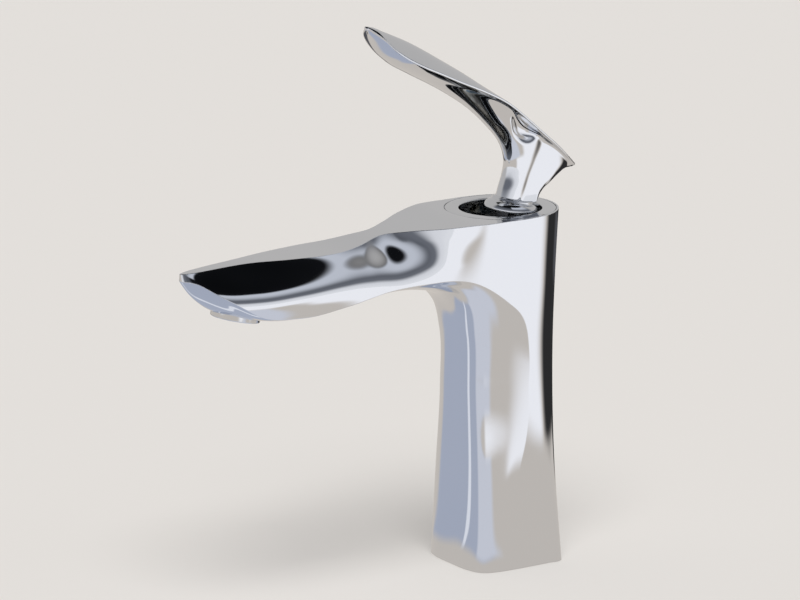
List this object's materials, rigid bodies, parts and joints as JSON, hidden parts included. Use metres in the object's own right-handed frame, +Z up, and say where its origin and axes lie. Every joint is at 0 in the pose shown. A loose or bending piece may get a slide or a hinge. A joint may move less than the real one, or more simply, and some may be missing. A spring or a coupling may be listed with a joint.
{
  "type": "single-lever basin mixer tap",
  "caption": "Single-lever basin mixer with a leaf-shaped spout, a swan-neck lever over a ceramic cartridge, and a stud and clamp for a deck hole.",
  "frame": {"origin": "on the deck plane, on the axis that the lever turns about, which is the middle of the tap hole", "axes": "+Z up along the cartridge axis; the spout points to -Y; +X is on the right as seen from behind the spout's tip looking at the column"},
  "size_m": [0.046, 0.173, 0.2653],
  "materials": {
    "chrome_body": "polished chrome plate on brass",
    "chrome_trim": "polished chrome plate",
    "brass": "machined brass",
    "steel": "plain steel",
    "cartridge_plastic": "moulded plastic",
    "ceramic": "ground ceramic",
    "black_rubber": "matt rubber",
    "aerator_plastic": "moulded plastic"
  },
  "bodies": {
    "tap": {"body": "chrome_body", "cover_ring": "chrome_trim", "cartridge_nut": "brass", "cartridge_housing": "cartridge_plastic", "housing_o_ring": "black_rubber", "cartridge_base": "cartridge_plastic", "inlet_seals": "black_rubber", "outlet_seal": "black_rubber", "fixed_disc": "ceramic", "aerator_housing": "chrome_trim", "aerator_mesh": "aerator_plastic", "aerator_insert": "aerator_plastic", "aerator_gasket": "black_rubber", "base_seal": "black_rubber", "mounting_stud": "steel", "clamp_rubber": "black_rubber", "clamp_plate": "steel", "clamp_nut": "brass"},
    "carrier": {"cartridge_carrier": "cartridge_plastic", "pivot_pin": "steel"},
    "handle": {"lever": "chrome_body", "lever_collar": "chrome_trim", "lever_screw": "steel", "screw_plug": "chrome_trim", "spindle": "steel"},
    "disc": {"moving_disc": "ceramic", "disc_holder": "cartridge_plastic"}
  },
  "joints": [
    {"name": "lever_turn", "type": "hinge", "parent": "tap", "child": "carrier", "pos_m": [0, 0, 0.113], "axis": [0, 0, 1], "range_deg": [-45, 45]},
    {"name": "lever_lift", "type": "hinge", "parent": "carrier", "child": "handle", "pos_m": [0, 0, 0.113], "axis": [1, 0, 0], "range_deg": [0, 25]},
    {"name": "disc_slide", "type": "slide", "parent": "carrier", "child": "disc", "axis": [0, 1, 0], "range_m": [0, 0.00239]}
  ],
  "couplings": [
    {"joint": "disc_slide", "follows": "lever_lift", "m_per_rad": 0.005456}
  ]
}
